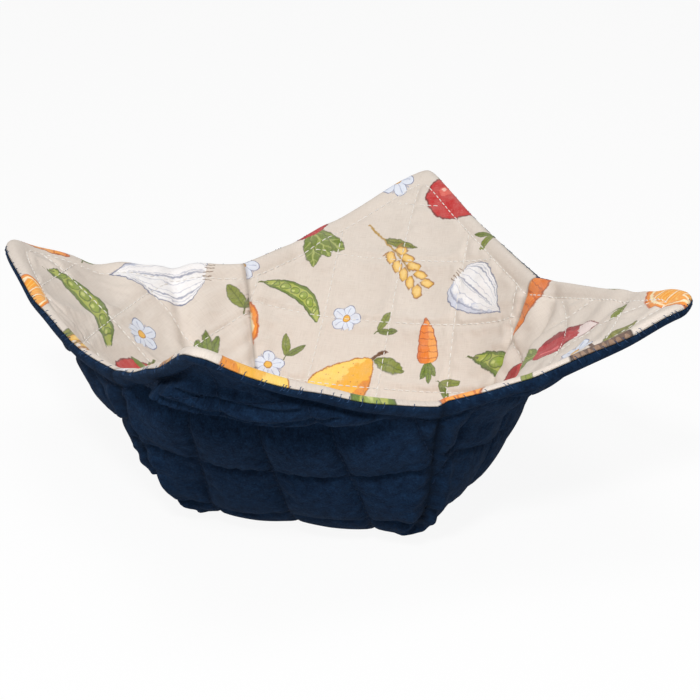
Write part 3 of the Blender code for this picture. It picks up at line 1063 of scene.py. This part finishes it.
def draw_radish(m):
    past, _ = m.profile(m.p, m.q, -13.5, 18.5, 12.2, 0.85, 0.36)
    for degrees, length in ((30, 10.5), (-26, 10.0), (4, 9.0)):
        m.leaf(0, 3.8, degrees, length, 2.8, (104, 124, 40), (170, 180, 98))
    m.fill(past, (176, 20, 38))
    m.shade(past, 1.4 - m.p * 0.5 + m.grain * 3, (132, 10, 28), 0.8)
    m.shade(past, m.q + 7.5 + m.grain * 6, (238, 226, 222), 0.9)
    gleam = (abs(m.p + 2.4 - m.q * 0.2) - 0.55).most(abs(m.q - 0.4) - 2.6)
    m.fill(gleam, (226, 110, 116), 0.85)
    m.line(past, (112, 14, 26), 0.2)


def draw_pea_pod(m):
    x = m.p + m.q * m.q * 0.032 - 2.4
    past, half = m.profile(x, m.q, -14, 27.5, 8.0, 0.5, 0.55)
    m.fill(past, (98, 122, 36))
    m.fill(abs(x) - half * 0.68 + 0.2, (168, 178, 76))
    y = (m.q + 20.2) % 4.1 - 2.05
    beyond = abs(m.q) - 10.2
    pea = (span(x, y) - 1.72).most(beyond)
    m.fill(pea, (138, 158, 52))
    m.fill(span(x + 0.5, y - 0.5).most(beyond) - 0.6, (196, 204, 116))
    m.line(pea, (78, 98, 28), 0.16)
    m.line(past, (66, 84, 26), 0.2)
    m.fill(bar(x + 0.2, 0.4, m.q - 13.4, 1.4), (86, 98, 34))


def draw_garlic(m):
    past, half = m.profile(m.p, m.q, -9.5, 22, 21.5, 0.42, 1.25)
    m.fill(past, (240, 238, 238))
    side = m.p / (half + 0.3)
    m.shade(past, 1.2 - side * 2 + m.grain * 2, (190, 196, 214))
    cloves = (abs((side * 4.4).sine()) - 0.12) * half * 0.22
    m.fill(cloves.most(past).most(m.q - 8), (128, 136, 162), 0.85)
    m.fill(stripes(side * 21 + m.grain * 2, 0.93, 3, past), (168, 172, 190), 0.6)
    roots = (abs((m.p * 3.2).sine()) - 0.4).most(abs(m.p) - 2.4).most(abs(m.q + 9.9) - 0.9)
    m.fill(roots, (132, 110, 92))
    m.line(past, (108, 114, 140), 0.2)


def draw_citrus(m):
    radius = span(m.p, m.q)
    angle = m.finish.maths("ARCTAN2", m.p, m.q)
    m.fill(radius - 11.4, (236, 140, 30))
    m.fill(radius - 10.3, (250, 230, 184))
    spoke = 0.42 - abs((angle * 4.5).sine()) * radius * 0.22
    segment = spoke.most(radius - 9.4).most(1.2 - radius)
    m.fill(segment, (244, 160, 44))
    m.fill(stripes(angle * 31 + m.grain * 4, 0.55, 1.0, segment + 0.4), (250, 196, 96), 0.8)
    m.line(segment, (222, 116, 22), 0.12, 0.8)
    m.line(radius - 11.4, (190, 92, 18), 0.2)


def draw_acorn(m):
    m.leaf(1.5, 6.5, -74, 11, 3.2, (120, 122, 42), (84, 88, 30))
    past, _ = m.profile(m.p, m.q, -12.5, 17, 9.6, 0.55, 0.25)
    m.fill(past, (168, 116, 64))
    m.shade(past, m.p * 0.6 + 0.6 + m.grain * 2, (204, 160, 108))
    m.fill(stripes(m.p * 2.4 + m.grain * 3, 0.8, 2, past), (130, 84, 44), 0.6)
    m.line(past, (92, 58, 34), 0.2)
    cap = oval(m.p, m.q - 3.6, 7.0, 4.0, 4.6).most(0.6 - m.q + m.p * m.p * 0.03)
    m.fill(cap, (84, 58, 46))
    hatch = ((m.p * 1.9 + m.q * 1.9).sine() * (m.p * 1.9 - m.q * 1.9).sine() - 0.12) * -2
    m.fill(hatch.most(cap + 0.25), (140, 108, 84), 0.9)
    m.line(cap, (52, 34, 28), 0.2)
    m.fill(bar(m.p - 0.3, 0.5, m.q - 8.8, 1.7), (84, 58, 46))


def draw_wheat(m):
    m.fill(bar(m.p - m.q * m.q * 0.008 + 0.3, 0.3, m.q + 4.5, 9.8), (176, 140, 66))
    m.leaf(0, -8, 34, 10, 1.5, (128, 132, 52), (88, 96, 36))
    x, y = abs(m.p), (m.q + 22.4) % 3.2 - 1.6
    past = oval(x * 0.88 - y * 0.47 - 1.55, y * 0.88 + x * 0.47 - 0.8, 1.15, 2.1, 1.3)
    past = past.most(abs(m.q - 4.6) - 8.0)
    awn = (abs((x * 0.9 - y) * 0.5).math("MINIMUM", 9.0) - 0.1).most(abs(x - 3.6) - 1.8)
    m.fill(awn.most(abs(m.q - 5.5) - 8.0), (190, 146, 62), 0.8)
    m.fill(past, (226, 178, 82))
    m.fill(past + 0.55, (244, 208, 126), 0.8)
    m.line(past, (148, 96, 34), 0.15)


def draw_tomato(m):
    past = oval(m.p, m.q + 1, 10.2, 9.0, 9.4)
    m.fill(past, (190, 26, 30))
    m.shade(past, 1.8 - m.p * 0.5 + m.q * 0.1 + m.grain * 4, (148, 14, 22))
    m.fill(span(m.p + 4.2, m.q - 1.2) - 1.9, (226, 96, 80), 0.8)
    m.fill(span(m.p + 4.6, m.q - 1.9) - 0.8, (246, 196, 180), 0.9)
    m.line(past, (112, 14, 20), 0.22)
    p, q = m.p - 0.4, m.q - 6.2
    angle = m.finish.maths("ARCTAN2", p, q)
    star = (p * p + q * q * 3.0).root() - 1.4 - abs((angle * 2.5).math("COSINE")) ** 3 * 4.6
    m.fill(star, (100, 118, 38))
    m.line(star, (60, 76, 24), 0.16)
    m.fill(bar(m.p - 0.4 - (m.q - 6) * 0.2, 0.45, m.q - 8.6, 2.0), (88, 100, 36))


def draw_blossom(m):
    radius = span(m.p, m.q)
    angle = m.finish.maths("ARCTAN2", m.p, m.q)
    past = radius - 4.6 - abs((angle * 2.5).math("COSINE")) ** 0.7 * 3.6
    m.fill(past, (222, 228, 240))
    rays = (abs((angle * 5).sine()) - 0.2).most(abs(radius - 4.6) - 2.2)
    m.fill(rays, (130, 142, 180), 0.7)
    m.fill(radius - 1.9, (236, 180, 60))
    m.line(radius - 1.9, (166, 108, 30), 0.2)
    m.line(past, (96, 106, 146), 0.2)


def draw_twin_leaves(m):
    m.leaf(0, -6.5, 27, 13, 2.6, (124, 136, 46), (84, 98, 32))
    m.leaf(0, -6.5, -33, 11.5, 2.3, (104, 120, 40), (72, 86, 28))
    m.fill(bar(m.p + 0.2, 0.3, m.q + 7.4, 1.6), (84, 98, 32))


LARGE_MOTIFS = (draw_carrot, draw_pear, draw_radish, draw_pea_pod, draw_garlic, draw_citrus, draw_acorn,
                draw_wheat, draw_tomato)
SMALL_MOTIFS = (draw_blossom, draw_twin_leaves)
LARGE_KINDS = list(range(len(LARGE_MOTIFS)))
SMALL_KINDS = [len(LARGE_MOTIFS) + k for k in range(len(SMALL_MOTIFS))]


def weave(finish, cut, pitch):
    """Height of a plain weave: crossing threads that pass over and under each other in turn."""
    x, y, _ = finish.axes(cut)
    turns = 2 * math.pi * UV_SPAN / pitch
    return (x * turns).sine() * (y * turns).sine()


def printed_cotton():
    """Natural cotton with slubs and a plain weave, printed with kitchen garden motifs whose outlines
    wander a little, as a brush's do."""
    finish = Finish("natural printed cotton", Roughness=0.88, Sheen_Weight=0.08, Sheen_Roughness=0.5)
    cut = finish.cut()
    motif = finish.node("Attribute", {"attribute_name": "motif"}, None, 1)
    wander = finish.axes(finish.noise(cut, 95.0, 2.0, 0.6, result=1))
    p, q, kind = finish.axes(motif)
    p = p + (wander[0] - 0.5) * 1.5
    q = q + (wander[1] - 0.5) * 1.5
    grain = wander[2] - 0.5
    cloud = finish.noise(cut, 14.0, 3.0)
    colour = finish.painted(tint(221, 211, 200), tint(212, 200, 189), cloud)
    natural = colour
    for number, draw in enumerate(LARGE_MOTIFS + SMALL_MOTIFS):
        here = 1 - abs(kind - number).clamped(2.0)
        drawn = Motif(finish, colour, motif, p, q, grain, here)
        draw(drawn)
        colour = drawn.colour
    wash = finish.noise(cut, 46.0, 4.0, 0.7)
    colour = finish.painted(colour, natural, (wash * 0.5 - 0.18).clamped())
    x, y, _ = finish.axes(cut)
    slubs = (finish.noise(finish.joined(x * 60.0, y * 900.0, 0.0), 1.0) * 0.5
             + finish.noise(finish.joined(x * 900.0, y * 60.0, 1.0), 1.0) * 0.5)
    colour = finish.painted(colour, tint(150, 132, 112), (slubs - 0.5).clamped(0.9))
    colour = finish.painted(colour, tint(250, 246, 238), (0.47 - slubs).clamped(0.9))
    # Painted shade: the lining is darkened along the seams and stitches, where their creases lie in shade
    colour = finish.painted(colour, tint(112, 96, 82), (finish.hollow() * 2 - 1).clamped() * 0.5)
    finish.feeds("Base Color", colour)
    finish.bump(weave(finish, cut, WEAVE_PITCH) * 0.35 + slubs * 0.8, 0.00009, 0.8)
    return finish.material


def brushed_navy():
    """Brushed navy cotton: a short nap that clumps and mottles over a weave that hardly shows."""
    finish = Finish("navy brushed cotton", Roughness=0.92, Sheen_Weight=0.05, Sheen_Roughness=0.35,
                    Sheen_Tint=tint(110, 150, 200), Specular_IOR_Level=0.08)
    cut = finish.cut()
    mottle = finish.noise(cut, 90.0, 5.0, 0.75)
    nap = finish.noise(cut, 420.0, 3.0, 0.7)
    colour = finish.painted(tint(11, 27, 48), tint(25, 50, 79), (mottle - 0.36).clamped(2.6))
    colour = finish.painted(colour, tint(5, 14, 27), (nap - 0.50).clamped(3.2))
    colour = finish.painted(colour, tint(44, 69, 97), (0.42 - nap).clamped(3.0))
    # Painted shade: the navy is darkened along the seams and stitches, where their creases lie in shade
    colour = finish.painted(colour, tint(3, 8, 17), finish.hollow() * 0.7)
    finish.feeds("Base Color", colour)
    x, y, _ = finish.axes(cut)
    brushed = finish.joined(x * 1100.0 + y * 200.0, y * 340.0, 0.0)
    fibres = finish.noise(brushed, 1.0, 3.0, 0.6)
    finish.bump(nap * 0.7 + fibres * 0.6 + mottle * 0.9, 0.0007, 0.9)
    return finish.material


def needled_wadding():
    finish = Finish("cotton wadding", Roughness=1.0)
    tufts = finish.noise(finish.place(), 260.0, 4.0, 0.7)
    finish.feeds("Base Color", finish.painted(tint(232, 228, 218), tint(206, 200, 186), tufts))
    finish.bump(tufts, 0.0006)
    return finish.material


def twisted_thread(name, light, painted_ply_shade):
    """Sewing thread: fine turns of its plies, with painted shade between them."""
    finish = Finish(name, Roughness=0.8, Specular_IOR_Level=0.15)
    x, y, z = finish.axes(finish.place())
    plies = ((x + y * 1.3 + z * 0.8) * 14000.0).sine() * 0.5 + 0.5
    # Painted shade: the grooves between the plies take the darker colour
    finish.feeds("Base Color", finish.painted(painted_ply_shade, light, plies))
    finish.bump(plies, 0.00004)
    return finish.material


def seen_rays(finish):
    """1 for the rays that show the background: straight to the camera, in gloss and through glass."""
    camera, gloss, through = finish.outputs(
        finish.node("LightPath"), "Is Camera Ray", "Is Glossy Ray", "Is Transmission Ray")
    return camera.most(gloss).most(through)


def pale_floor():
    """White where it is seen, with the object's soft shadow, and plain pale to every other ray."""
    finish = Finish("pale floor", Base_Color=(0.9, 0.9, 0.9, 1), Roughness=0.8)
    seen = seen_rays(finish)
    lit = Value(finish, finish.shader.outputs[0])
    glow = finish.node("Emission")
    mixed = finish.node("MixShader", None, {0: seen * FLOOR_GLOW, 1: lit, 2: glow})
    finish.tree.links.new(mixed.socket, finish.tree.nodes["Material Output"].inputs[0])
    return finish.material


# Camera and light, fitted to the photo
VIEW_ELEVATION = 20.05
VIEW_AZIMUTH = 18.0
VIEW_DISTANCE = 0.920
VIEW_HEIGHT = 0.045         # of the point that the camera looks at, over the pattern's middle
SENSOR_WIDTH = 36
FRAME_PIXELS = 700
FOCAL_PIXELS = 2350
AIM_PIXEL = (337.24, 375.61)
FLOOR_HALF = 3
FLOOR_UNDER = 0.0002        # how far the floor lies under the part
FLOOR_GLOW = 0.92           # share of the floor's own white where it is seen
WORLD_STRENGTH = 0.17       # of the light from the world; where it is seen it is white
LAMPS = (("key", (0.16, -0.95, 0.92), 0.20, 12.6), ("top", (-0.05, 0.00, 1.20), 0.60, 4.3))
LAMP_AIM = (0, 0, 0.05)


def add_camera():
    """The camera stands back from the aim point along the view direction. The aim point lies a
    little off the middle of the picture, which the lens shift gives."""
    elevation, azimuth = math.radians(VIEW_ELEVATION), math.radians(VIEW_AZIMUTH)
    level = math.cos(elevation)
    back = np.array([level * math.sin(azimuth), -level * math.cos(azimuth), math.sin(elevation)])
    data = bpy.data.cameras.new("camera")
    data.sensor_width = SENSOR_WIDTH
    data.lens = SENSOR_WIDTH * FOCAL_PIXELS / FRAME_PIXELS
    data.shift_x = (FRAME_PIXELS / 2 - AIM_PIXEL[0]) / FRAME_PIXELS
    data.shift_y = (AIM_PIXEL[1] - FRAME_PIXELS / 2) / FRAME_PIXELS
    camera = linked("camera", data)
    camera.location = ORIGIN_SHIFT + (0, 0, VIEW_HEIGHT) + back * VIEW_DISTANCE
    camera.rotation_euler = (math.radians(90) - elevation, 0, azimuth)
    bpy.context.scene.camera = camera


def add_stage():
    mesh = bpy.data.meshes.new("floor")
    corners = np.array([(-1, -1), (1, -1), (1, 1), (-1, 1)]) * FLOOR_HALF
    mesh.from_pydata([(x, y, -FLOOR_UNDER) for x, y in corners.tolist()], [], [(0, 1, 2, 3)])
    mesh.materials.append(pale_floor())
    linked("floor", mesh)
    studio = Studio("studio", Color=(1, 1, 1, 1))
    studio.feeds("Strength", seen_rays(studio) * (1 - WORLD_STRENGTH) + WORLD_STRENGTH)
    bpy.context.scene.world = studio.material
    for name, place, size, power in LAMPS:
        data = bpy.data.lights.new(name, "AREA")
        data.size = size
        data.energy = power
        lamp = linked(name, data)
        lamp.location = place
        x, y, z = np.array(place) - LAMP_AIM
        lamp.rotation_euler = (math.atan2(math.hypot(x, y), z), 0, math.atan2(y, x) + math.pi / 2)


def with_slack(net, outer, inner):
    """The cover's face with its slack: level and down by the swell, along the normal by the folds.
    Where they go inwards, they stop short of the lining."""
    swell, ridges, _ = lip(net)
    spare = np.linalg.norm(outer - inner, axis=1) - 2 * FABRIC - 4 * CLEARANCE
    ridges = np.maximum(ridges, -np.maximum(spare, 0) - LIP_OUT / 2 * swell)
    level = LIP_OUT * unit(net.normal * (1, 1, 0))
    hang = (level - (0, 0, LIP_SAG)) * swell[:, None] + net.normal * ridges[:, None]
    return outer + net.averaged(hang)


def wadding_faces(net, outer, inner):
    """The wadding's own faces, set in from the cloth's by the fabrics and the creases over it, and
    under the cover also by its hollows."""
    through = outer - inner
    thickness = np.linalg.norm(through, axis=1)
    through /= thickness[:, None]
    inset = FABRIC + 3 * CLEARANCE + WADDING_CREASE * CREASE * creases(net)
    inset = np.minimum(inset, WADDING_INSET * thickness)
    tucked = np.minimum(inset - np.minimum(lip(net)[1], 0), thickness - inset - CLEARANCE)
    return outer - through * tucked[:, None], inner + through * inset[:, None]


def main():
    coarse = bent(Net(laid_out_patches()))
    coarse_outer, coarse_inner = padded_faces(coarse)
    coarse_outer, coarse_inner = relaxed(coarse, coarse_outer, coarse_inner)
    fine = bent(Net([with_rim(finer(patch)) for patch in coarse.patches]))
    outer = fine_face(coarse, coarse_outer, fine, 1, CREST_OUT)
    inner = fine_face(coarse, coarse_inner, fine, -1, CREST_IN)
    outer = with_slack(fine, outer, inner)

    through = FABRIC * unit(outer - inner)
    cover, _ = closed_layer("cover", fine, placed(outer), placed(outer - through))
    lining, flat = closed_layer("printed_lining", fine, placed(inner + through), placed(inner))
    add_print(lining, flat)
    top, under = wadding_faces(coarse, coarse_outer, coarse_inner)
    wadding, _ = closed_layer("wadding", coarse, placed(top), placed(under))
    on_lining, on_cover, on_edge = sewn_stitches(fine, outer, inner)
    white, navy, edging = (on_lining.piece("lining_stitches"), on_cover.piece("cover_stitches"),
                           on_edge.piece("edge_stitches"))

    # The second colour of each thread is the painted shade between its plies
    ecru = twisted_thread("white thread", tint(250, 248, 244), tint(214, 208, 200))
    blue = twisted_thread("navy thread", tint(18, 38, 64), tint(12, 28, 50))
    # Painted light: the navy edging thread is made lighter than the cover's navy thread, against the
    # shade it lies in at the rim
    edge_navy_painted_lighter = twisted_thread("navy edging thread", tint(52, 78, 112), tint(38, 60, 92))
    finishes = ((cover, brushed_navy(), "navy_cotton"), (lining, printed_cotton(), "natural_cotton"),
                (wadding, needled_wadding(), "cotton_wadding"), (white, ecru, "natural_cotton"),
                (navy, blue, "navy_cotton"), (edging, edge_navy_painted_lighter, "navy_cotton"))
    for piece, material, slot in finishes:
        piece.data.materials.append(material)
        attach(piece, "root")
    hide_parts("outer_cover")
    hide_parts("lining")
    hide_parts("batting")

    add_camera()
    add_stage()
    bpy.context.scene.view_settings.view_transform = "Standard"


main()
